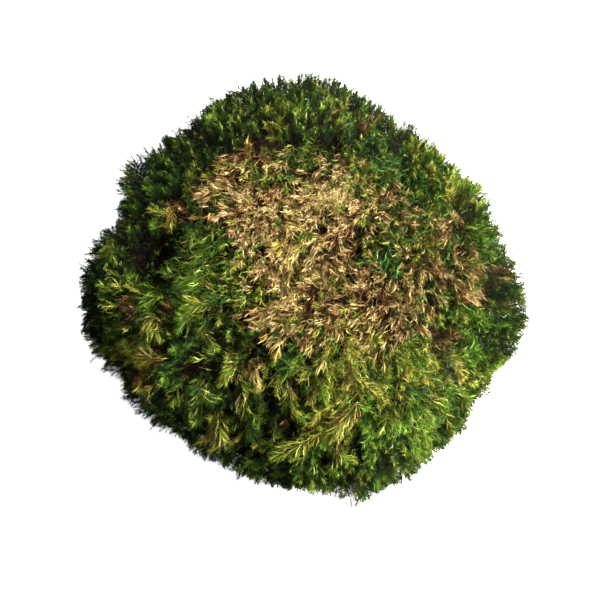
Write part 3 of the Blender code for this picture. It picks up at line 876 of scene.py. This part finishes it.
def grow(leaves, root, direction, bend, stalk, kinds):
    """Adds the leaves of shoots. bend: how far the stalk curves off its direction by the tip."""
    table = np.array([KINDS[name][:LEAF_FIELDS] for name in KIND_NAMES], dtype=float)[kinds]
    tone, mix, blend, leaf, wide, opening, number, leafy, old = table.T
    shoots = len(root)
    tone_drift = TONE_MIX * drift(root, TONE_WAVE, seed=4)[:, 0]
    shoot_tone = tone + mix * (TONE_MIX * draw.standard_normal(shoots) + tone_drift)
    shoot_tone += FAR_TONES * drift(root, FAR_WAVE, seed=5)[:, 0]
    size = draw.uniform(*SHOOT_SIZE, shoots)
    shoot_age_and_shade = old + np.abs(draw.normal(0, AGE_SPREAD, shoots))
    shoot_age_and_shade = shoot_age_and_shade + AGE_DRIFT * drift(root, AGE_WAVE, seed=6)[:, 0]
    bare = np.clip(1 - leafy * MM * size / stalk, *BARE_SHARE)
    leafed = np.clip((1 - bare) * stalk / (leafy * MM), *LEAFED_SHARE)
    number = np.round(number * leafed * draw.uniform(*LEAF_NUMBER, shoots)).astype(int)

    # From here on each value is one leaf's, and share is how far up the leafy part it sits.
    owner = np.repeat(np.arange(shoots), number)
    order = np.concatenate([np.arange(n) for n in number])
    share = (order + 0.5) / number[owner]
    place = bare[owner] + (1 - bare[owner]) * share ** 0.75
    heading = draw.uniform(0, 2 * math.pi, shoots)[owner] + order * GOLDEN_ANGLE
    heading += draw.normal(0, 0.4, len(owner))
    along = unit(direction[owner] + 2 * place[:, None] * bend[owner])
    path = place[:, None] * direction[owner] + place[:, None] ** 2 * bend[owner]
    outward, side = spread_leaves(along, heading, 0.4)
    opening = np.radians(opening[owner]) * (1.3 - 0.85 * share) + draw.normal(0, 0.2, len(owner))
    living = tone[owner] > FIRST_GREEN
    curl = np.where(living, 0.2, -0.3) + draw.normal(0, 0.6, len(owner))
    length = leaf[owner] * size[owner] * (1.05 - 0.42 * share ** 3) * MM
    length *= draw.uniform(*LEAF_LENGTH, len(owner))
    width = wide[owner] * MM * draw.uniform(*LEAF_WIDTH, len(owner))
    fade = np.where(living, -3.0 * share ** 2 + 2.5 * (1 - share), 0)
    column = shoot_tone[owner] + fade + blend[owner] * draw.standard_normal(len(owner))
    column = np.where(living, np.maximum(column, FIRST_GREEN), column)
    luck = draw.random(len(owner))
    withered = living & (luck < WITHERED[0] - WITHERED[1] * share)
    yellowed = living & ~withered & (luck < YELLOWED[0] - YELLOWED[1] * share)
    column = np.where(withered, draw.normal(WITHERED_TONE, ODD_TONES, len(owner)), column)
    column = np.where(yellowed, draw.normal(YELLOWED_TONE, ODD_TONES, len(owner)), column)
    base = root[owner] + stalk[owner, None] * path
    # Lower leaves are older, and older leaves are darker, partly as painted shade deep in the
    # shoot.
    age_and_shade = np.where(living, 0.95, 0.8) * (1 - share) ** 0.9 + shoot_age_and_shade[owner]
    age_and_shade += draw.normal(0, 0.07, len(owner))
    leaves.add(base, along, outward, side, length, width, opening, curl, column, age_and_shade)


def scatter_fronds(spray):
    """The laid shoots of one patch."""
    crown = pixels_of(CROWN_CENTRE + (0, 0, CROWN_HEIGHT))
    fronds = []
    for _ in range(spray.number):
        x, y = (spray.x, spray.y) + draw.normal(0, 0.6, 2) * (spray.reach_x, spray.reach_y)
        heading = spray.heading
        if heading is None:
            heading = math.degrees(math.atan2(crown[1] - y, x - crown[0]))
        heading = math.radians(heading + draw.normal(0, SPRAY_SPREAD))
        length = spray.length * draw.uniform(0.7, 1.25)
        tone = spray.tone + draw.normal(0, 3)
        foot = tone - 8 - abs(draw.normal(0, 8))
        bow, lift = draw.normal(0, 2.5), draw.uniform(-0.2, 1.6)
        x1, y1 = x + length * math.cos(heading), y - length * math.sin(heading)
        leaf = spray.leaf * draw.uniform(0.8, 1.15)
        frond = Frond(x, y, x1, y1, bow, foot, tone, leaf, SPRAY_DENSITY, SPRAY_OPEN, lift)
        fronds.append(frond)
    return fronds


def frond_path(frond, tips):
    """A long shoot's stalk on the form as seen, and the form's normals under it, or None."""
    share = np.linspace(0, 1, FROND_STEPS)
    span = math.hypot(frond.x1 - frond.x0, frond.y1 - frond.y0)
    path, normals = [], []
    for s in share:
        bow = frond.bow * 4 * s * (1 - s)
        x = frond.x0 + s * (frond.x1 - frond.x0) + bow * (frond.y1 - frond.y0) / span
        y = frond.y0 + s * (frond.y1 - frond.y0) - bow * (frond.x1 - frond.x0) / span
        hit = tips.ray_cast(Vector(CAMERA_PLACE), Vector(sight_line(x, y)))
        if hit[0] is None and len(path) < ON_FORM:
            return None
        if hit[0] is None:
            path.append(path[-1] + (path[-1] - path[-2]))
            normals.append(normals[-1])
        else:
            path.append(np.array(hit[0]))
            normals.append(np.array(hit[1]))
    normals = unit(np.array(normals))
    rise = frond.lift * np.sin(math.pi * share ** 0.8) - FROND_ROOT_DEPTH * (1 - share) ** 2
    return np.array(path) + normals * (rise * MM)[:, None], normals


def path_at(at, reach, path):
    """The path's values at these shares of its length. reach: the shares of its own points."""
    return np.stack([np.interp(at, reach, path[:, i]) for i in range(3)], axis=-1)


def grow_frond(leaves, frond, tips, leaf_width):
    """Adds the leaves of one long shoot, laid over the tips' envelope and mostly in two rows."""
    laid = frond_path(frond, tips)
    if laid is None:
        return
    path, normals = laid
    steps = np.linalg.norm(np.diff(path, axis=0), axis=1)
    reach = np.concatenate(([0], np.cumsum(steps))) / steps.sum()
    number = int(FROND_DENSITY * frond.dense * steps.sum() / MM)
    at = np.linspace(0.02, 1, number) ** 0.85
    base = path_at(at, reach, path)
    along = unit(path_at(at + 0.04, reach, path) - path_at(at - 0.04, reach, path))
    across = unit(np.cross(along, path_at(at, reach, normals)))
    up = np.cross(across, along)
    hand = np.where(np.arange(number) % 2 == 0, 0, math.pi)
    turn = hand + draw.normal(0, 0.8, number)
    outward = np.cos(turn)[:, None] * across + np.abs(np.sin(turn))[:, None] * up
    side = unit(np.cross(along, outward) + draw.normal(0, 0.3, outward.shape))
    opening = np.radians(frond.open) * (1.1 - 0.45 * at) + draw.normal(0, 0.14, number)
    curl = draw.normal(-0.6, 0.25, number) * (1 - 0.6 * at)
    slender = np.interp(at, (0, 0.2, 0.55, 0.85, 1), (0.6, 0.95, 1, 0.66, 0.4))
    length = frond.leaf * MM * slender * draw.uniform(0.75, 1.15, number)
    width = leaf_width * draw.uniform(0.75, 1.25, number)
    column = np.interp(at, (0, 0.7, 1), (frond.tone - 4, frond.tone, frond.tone + 3))
    browned = draw.random(number) > np.interp(at, (0, 0.4), (0.15, 1))
    column = np.where(browned, frond.foot, column) + draw.normal(0, 3.4, number)
    age_and_shade = draw.uniform(0.05, 0.75, number) * (1.25 - at)
    leaves.add(base, along, outward, side, length, width, opening, curl, column, age_and_shade)


def strew(leaves, points, normals, tone, length, oldest_and_shaded):
    """Adds loose thin leaves that lie on these points at any angle."""
    number = len(points)
    along, other = side_frame(normals)
    turn = draw.uniform(0, 2 * math.pi, number)[:, None]
    along = np.cos(turn) * along + np.sin(turn) * other
    side = unit(np.cross(along, normals) + draw.normal(0, 0.3, along.shape))
    reach = length * MM * draw.uniform(0.6, 1.3, number)
    width = LITTER_WIDTH * draw.uniform(0.8, 1.4, number)
    opening, curl = draw.normal(0.12, 0.2, number), draw.normal(0, 0.5, number)
    column = draw.normal(tone, 4, number)
    age_and_shade = draw.uniform(oldest_and_shaded - 0.3, oldest_and_shaded, number)
    leaves.add(points, along, normals, side, reach, width, opening, curl, column, age_and_shade)


def grow_star(leaves, star, tips):
    """Adds one big open shoot that points at the viewer, its leaves spread like a star."""
    hit = tips.ray_cast(Vector(CAMERA_PLACE), Vector(sight_line(star.x, star.y)))
    up = (1 - STAR_FACING) * np.array(hit[1]) + STAR_FACING * TO_CAMERA + draw.normal(0, 0.12, 3)
    share = (np.arange(star.number) + 0.5) / star.number
    heading = np.arange(star.number) * GOLDEN_ANGLE + draw.normal(0, 0.3, star.number)
    along = np.tile(unit(up), (star.number, 1))
    outward, side = spread_leaves(along, heading, 0.3)
    base = np.array(hit[0]) + along * ((share - 1.0) * STAR_DEPTH)[:, None]
    opening = np.radians(STAR_OPEN - STAR_CLOSING * share ** 1.5)
    opening += draw.normal(0, 0.12, star.number)
    curl = draw.normal(0.25, 0.25, star.number)
    length = star.leaf * MM * (1.05 - 0.4 * share ** 2) * draw.uniform(0.75, 1.15, star.number)
    width = FROND_LEAF_WIDTH * draw.uniform(0.65, 1.1, star.number)
    column = star.tone + 3 - 5 * share + draw.normal(0, 2.4, star.number)
    age_and_shade = 0.75 * (1 - share) + draw.normal(0, 0.06, star.number)
    leaves.add(base, along, outward, side, length, width, opening, curl, column, age_and_shade)


class Look:
    """The nodes of a material or of the world, and short ways to add to them."""

    def __init__(self, tree):
        self.nodes = tree.nodes
        self.links = tree.links

    def feed(self, node, feeds):
        """Links or sets a node's inputs. feeds: sockets and values, by the inputs' names."""
        for name, value in feeds.items():
            if isinstance(value, bpy.types.NodeSocket):
                self.links.new(value, node.inputs[name])
            else:
                node.inputs[name].default_value = value

    def add(self, kind, feeds):
        """A new node with these inputs. kind: its type, without the ShaderNode before it."""
        node = self.nodes.new("ShaderNode" + kind)
        self.feed(node, feeds)
        return node

    def math(self, operation, *values):
        """The outcome of an operation on sockets or numbers."""
        node = self.add("Math", dict(enumerate(values)))
        node.operation = operation
        return node.outputs[0]

    def remap(self, value, start, end, low=0.0, high=1.0):
        """A value stretched from low and high to start and end."""
        reach = {"From Min": low, "From Max": high, "To Min": start, "To Max": end}
        return self.add("MapRange", {"Value": value, **reach}).outputs[0]

    def ramp(self, value, stops):
        """The colour that a value has between stops of place and colour."""
        node = self.add("ValToRGB", {0: value})
        elements = node.color_ramp.elements
        while len(elements) < len(stops):
            elements.new(0.5)
        for element, (place, colour) in zip(elements, stops):
            element.position = place
            element.color = (*linear(colour), 1)
        return node.outputs[0]


def principled(name):
    """A new material, with its look and its shader."""
    material = bpy.data.materials.new(name)
    material.use_nodes = True
    look = Look(material.node_tree)
    return material, look, look.nodes["Principled BSDF"]


def leaf_material():
    """Leaf colours by column of the leaf map, with a pale rib and streaks, a painted sheen on the
    brightest, and painted shade at the foot and, partly, in older bands.
    """
    material, look, shader = principled("moss_leaf")
    chart = look.nodes.new("ShaderNodeUVMap")
    chart.uv_map = "OFBake"
    split = look.add("SeparateXYZ", {0: chart.outputs["UV"]})
    scaled = look.math("MULTIPLY", split.outputs[0], COLUMNS)
    column = look.math("FLOOR", scaled)
    raised = look.math("MULTIPLY", split.outputs[1], BANDS)
    band = look.math("FLOOR", raised)

    # Each column's own luck sets how bright its leaves are, and how far the brightest take a pale
    # painted sheen.
    noise = look.nodes.new("ShaderNodeTexWhiteNoise")
    noise.noise_dimensions = "1D"
    look.feed(noise, {"W": column})
    lift = noise.outputs["Value"]
    luck = look.math("POWER", lift, SHADE_SKEW)
    living = look.math("GREATER_THAN", column, FIRST_GREEN - 0.5)
    shades = {"A": look.remap(lift, *STRAW_SHADE), "B": look.remap(luck, *GREEN_SHADE)}
    own = look.add("Mix", {"Factor": living, **shades}).outputs["Result"]

    # Painted shade: each leaf is darker towards its foot, where it meets the stalk.
    foot = look.remap(look.math("FRACT", raised), FOOT_PAINTED_SHADE, 1.0, high=FOOT_SHARE)
    # Each older band is darker, partly from age and partly as painted shade deep in the tufts.
    age_and_depth_shade = look.math("POWER", BAND_SHADE_FADE, band)
    off_rib = look.math("ABSOLUTE", look.math("SUBTRACT", look.math("FRACT", scaled), 0.5))
    rib = look.remap(off_rib, *RIB_SHADE, high=MAP_HALF)
    stretched = look.add("Mapping", {"Vector": chart.outputs["UV"], "Scale": STREAKS}).outputs[0]
    streak = look.add("TexNoise", {"Vector": stretched, "Scale": 1, "Detail": 2}).outputs["Fac"]
    strength = look.remap(streak, *STREAK_SHADE)
    for factor in (own, foot, rib, age_and_depth_shade):
        strength = look.math("MULTIPLY", strength, factor)

    tones = [(place / (COLUMNS - 1), colour) for place, colour in TONES]
    # The brightest living leaves are mixed towards the pale colour, a painted sheen.
    sheen_factor = look.math("MULTIPLY", look.remap(luck, 0.0, SHEEN_SHARE, low=0.5), living)
    tone = look.ramp(look.math("DIVIDE", column, COLUMNS - 1), tones)
    sheen_mix = look.nodes.new("ShaderNodeMix")
    sheen_mix.data_type = "RGBA"
    look.feed(sheen_mix, {"Factor": sheen_factor, "A": tone, "B": (*linear(PAINTED_SHEEN), 1)})
    # Older bands are also deeper in colour, partly from age and partly as painted shade.
    power = look.math("MULTIPLY_ADD", band, BAND_SHADE_DEEPEN, 1.0)
    shade_deepened = look.add("Gamma", {"Color": sheen_mix.outputs["Result"], "Gamma": power})
    shade = look.nodes.new("ShaderNodeVectorMath")
    shade.operation = "SCALE"
    look.feed(shade, {0: shade_deepened.outputs[0], "Scale": strength})
    bumps = look.add("Bump", {"Height": rib, "Strength": 0.4, "Distance": 0.2 * MM})
    rough = look.remap(streak, 0.6, 0.85)
    finish = {"Base Color": shade.outputs[0], "Roughness": rough, "Normal": bumps.outputs[0]}
    look.feed(shader, {**finish, "Specular IOR Level": 0.1})
    return material


def matted_stalks():
    """Matted dead stalks: near-black browns in a fine noise, darkened as painted shade."""
    material, look, shader = principled("matted_stalks")
    place = look.nodes.new("ShaderNodeTexCoord").outputs["Object"]
    noise = look.add("TexNoise", {"Vector": place, "Scale": 260, "Detail": 6}).outputs["Fac"]
    # Near black: the stalks' brown, darkened as painted shade deep under the shoots.
    browns = look.ramp(noise, ((0.35, (7, 4, 3)), (0.68, (24, 15, 9))))
    bumps = look.add("Bump", {"Height": noise, "Strength": 0.7, "Distance": MM})
    rough = look.remap(noise, 0.7, 0.98)
    finish = {"Base Color": browns, "Roughness": rough, "Normal": bumps.outputs[0]}
    look.feed(shader, {**finish, "Specular IOR Level": 0.08})
    return material


def make_bed(places, triangles):
    """The bed of matted stalks that the shoots rise from."""
    mesh = bpy.data.meshes.new("moss_bed")
    corners = [tuple(p) for p in places]
    mesh.from_pydata(corners, [], [tuple(int(i) for i in t) for t in triangles])
    mesh.polygons.foreach_set("use_smooth", np.ones(len(mesh.polygons), dtype=bool))
    mesh.materials.append(matted_stalks())
    return add_object("moss_bed", mesh)


def plant(ground):
    """Roots of the standing shoots, with the ground's normals there and the shoots' kinds."""
    points, facing = scatter_candidates(*ground, CANDIDATES)
    growing = (facing[:, 2] > LOWEST_FACING) & (points[:, 2] > LOWEST_ROOT)
    points, facing = points[growing], facing[growing]
    kinds = choose_kinds(points, facing)
    gaps = kind_values(kinds, "gap") * MM * np.where(facing[:, 2] < OVERHANG, OVERHANG_GAP, 1)
    kept = thin_out(points, gaps)
    return points[kept], facing[kept], kinds[kept]


def raise_stalks(roots, normals, kinds, tips):
    """Directions, bends and lengths of the stalks on these roots."""
    leaning = lean_directions(roots, normals, kinds)
    lean = kind_values(kinds, "lean")[:, None] * draw.uniform(0.4, 1.3, (len(roots), 1))
    off_tuft, within = tufts(roots)
    laid = of_kinds(kinds, CROWN_KINDS)
    off_tuft[laid], within[laid] = 0, 1
    directions = normals + leaning * lean + off_tuft * TUFT_LEAN
    directions = unit(directions + draw.normal(0, 0.16, normals.shape))
    low = roots[:, 2] < LOW_DOWN
    directions[low, 2] = np.maximum(directions[low, 2], STEEPEST_DOWN)
    directions = unit(directions)
    bends = leaning * lean * BEND_SHARE + draw.normal(0, 0.12, normals.shape)

    dry = of_kinds(kinds, DRY_KINDS)
    tall = kind_values(kinds, "tall") * draw.uniform(0.84, 1.03, len(roots))
    tall[dry] *= draw.uniform(0.75, 1.0, dry.sum())
    tall *= 1 - SEAM_DEPTH * (1 - within)
    lengths = np.empty(len(roots))
    for i, (root, direction) in enumerate(zip(roots, directions)):
        hit = tips.ray_cast(Vector(root), Vector(direction), FARTHEST_TIP)
        reach = hit[3] if hit[0] is not None else NO_TIP
        lengths[i] = reach * tall[i] + TIP_RISE
    lengths += rim_reach(roots + directions * lengths[:, None])
    falling = np.maximum(-directions[:, 2] - np.minimum(bends[:, 2], 0), 0.01)
    lengths = np.minimum(lengths, (roots[:, 2] - FLOOR_GAP) / falling)
    return directions, bends, np.clip(lengths, *STALKS)


def green_shoots(shoots, kinds, material):
    """The standing living shoots, in one piece for each sector of the clump."""
    living = ~of_kinds(kinds, DRY_KINDS)
    width = 360 / len(SECTORS)
    azimuth = np.degrees(np.arctan2(shoots[0][:, 1], shoots[0][:, 0])) % 360
    sector = np.floor(((azimuth + width / 2) % 360) / width).astype(int)
    pieces = []
    for number, name in enumerate(SECTORS):
        mine = living & (sector == number)
        leaves = Leaves(*FINE)
        grow(leaves, *(values[mine] for values in shoots), kinds[mine])
        pieces.append(leaves.build("green_shoots_" + name, material))
    return pieces


def straw_crown(shoots, kinds, normals, material):
    """The dry shoots of the crown, with loose leaves over them."""
    dry = of_kinds(kinds, DRY_KINDS)
    leaves = Leaves(*FINE)
    grow(leaves, *(values[dry] for values in shoots), kinds[dry])
    roots, directions, _, lengths = shoots
    lying = draw.choice(np.flatnonzero(dry), LITTER)
    over = roots[lying] + directions[lying] * (lengths[lying] + LITTER_RISE)[:, None]
    over += draw.normal(0, LITTER_SPREAD, over.shape) * (1, 1, 0.2)
    strew(leaves, over, normals[lying], LITTER_TONE, LITTER_LENGTH, LITTER_AGE)
    return leaves.build("straw_crown", material)


def long_fronds(envelope, tips, material):
    """The long laid shoots, the open shoots and loose green leaves over the form."""
    leaves = Leaves(*FULL)
    for frond in FRONDS:
        grow_frond(leaves, frond, tips, FROND_LEAF_WIDTH)
    for star in STARS:
        grow_star(leaves, star, tips)
    over, outside = scatter_candidates(*envelope, GREEN_LITTER)
    over += outside * (np.minimum(rim_reach(over), 0) - MM)[:, None]
    kinds = choose_kinds(over - outside * (BED_DEPTH - MM), outside)
    green = ~of_kinds(kinds, DRY_KINDS)
    over, outside = over[green], outside[green]
    strew(leaves, over, outside, GREEN_LITTER_TONE, GREEN_LITTER_LENGTH, LITTER_AGE)
    return leaves.build("long_fronds", material)


def laid_sprays(tips, material):
    """The patches of shorter laid shoots."""
    leaves = Leaves(*FULL)
    for spray in SPRAYS:
        for frond in scatter_fronds(spray):
            grow_frond(leaves, frond, tips, SPRAY_LEAF_WIDTH)
    return leaves.build("laid_sprays", material)


def dead_thatch(ground, material):
    """Dead leaves all over the bed, and stubble where it is cut."""
    leaves = Leaves(*FINE)
    under, outside = scatter_candidates(*ground, THATCH)
    tones = draw.choice(THATCH_TONES, THATCH)
    # Dead leaves under the shoots lie old and dark, partly as painted shade.
    strew(leaves, under + outside * MM, outside, tones, THATCH_LENGTH, THATCH_AGE_AND_SHADE)
    under, outside = scatter_candidates(*ground, 20 * STUBBLE)
    cut = np.flatnonzero(under[:, 2] < BED_CUT + 0.01 * MM)[:STUBBLE]
    under, outside = under[cut] - (0, 0, FLOOR_GAP), outside[cut]
    tones = draw.choice(STUBBLE_TONES, len(cut))
    strew(leaves, under, outside, tones, STUBBLE_LENGTH, STUBBLE_AGE_AND_SHADE)
    return leaves.build("dead_thatch", material)


def make_floor():
    """A plain white floor that sheds no light on the clump."""
    mesh = bpy.data.meshes.new("floor")
    corners = [(x * FLOOR_SIZE, y * FLOOR_SIZE, 0) for x, y in ((-1, -1), (1, -1), (1, 1), (-1, 1))]
    mesh.from_pydata(corners, [], [(0, 1, 2, 3)])
    floor = add_object("floor", mesh)
    material, look, shader = principled("floor_white")
    look.feed(shader, {"Base Color": (0.93, 0.93, 0.93, 1), "Roughness": 0.9})
    look.feed(shader, {"Emission Color": (1, 1, 1, 1), "Emission Strength": 1.0})
    mesh.materials.append(material)
    floor.visible_diffuse = False
    floor.visible_glossy = False


def area_light(name, place, energy, size, colour):
    """A square lamp that faces the clump."""
    light = bpy.data.lights.new(name, "AREA")
    light.energy = energy
    light.size = size
    light.color = colour
    lamp = add_object(name, light)
    lamp.location = place
    lamp.rotation_euler = (-Vector(place)).to_track_quat("-Z", "Y").to_euler()


def light_studio():
    """The lamps, and a white sky that glows more from above."""
    area_light("key", (0.76, -0.2, 0.68), 98, 0.7, (1, 0.99, 0.95))
    area_light("back_fill", (-0.15, 1.5, 0.3), 34, 1.2, (1, 1, 1))
    area_light("left_fill", (-1.5, 0.1, 0.28), 16, 1.2, (1, 1, 1))
    world = bpy.data.worlds.new("studio")
    bpy.context.scene.world = world
    world.use_nodes = True
    look = Look(world.node_tree)
    toward = look.nodes.new("ShaderNodeTexCoord").outputs["Generated"]
    height = look.add("SeparateXYZ", {0: toward}).outputs[2]
    glow = look.remap(height, 0.06, 0.54, low=-0.1)
    look.feed(look.nodes["Background"], {"Color": (1, 1, 1, 1), "Strength": glow})
    bpy.context.scene.view_settings.view_transform = "Standard"


def place_camera():
    """The camera, where the photograph was taken from."""
    data = bpy.data.cameras.new("camera")
    data.lens = LENS_MM
    data.sensor_width = SENSOR_MM
    camera = add_object("camera", data)
    camera.location = CAMERA_PLACE
    camera.rotation_euler = Vector(-TO_CAMERA).to_track_quat("-Z", "Y").to_euler()
    bpy.context.scene.camera = camera


envelope, ground = read_form(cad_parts["moss_cushion"])
tips = tree_of(*envelope)
bed = make_bed(*ground)
roots, normals, kinds = plant(ground)
shoots = (roots, *raise_stalks(roots, normals, kinds, tips))
moss_leaf = leaf_material()

pieces = [(piece, "living_moss") for piece in green_shoots(shoots, kinds, moss_leaf)]
pieces += [
    (straw_crown(shoots, kinds, normals, moss_leaf), "dry_moss"),
    (long_fronds(envelope, tips, moss_leaf), "living_moss"),
    (laid_sprays(tips, moss_leaf), "living_moss"),
    (dead_thatch(ground, moss_leaf), "dead_base"),
    (bed, "dead_base"),
]
for piece, finish in pieces:
    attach(piece, "root")
    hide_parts("moss_cushion")

make_floor()
light_studio()
place_camera()
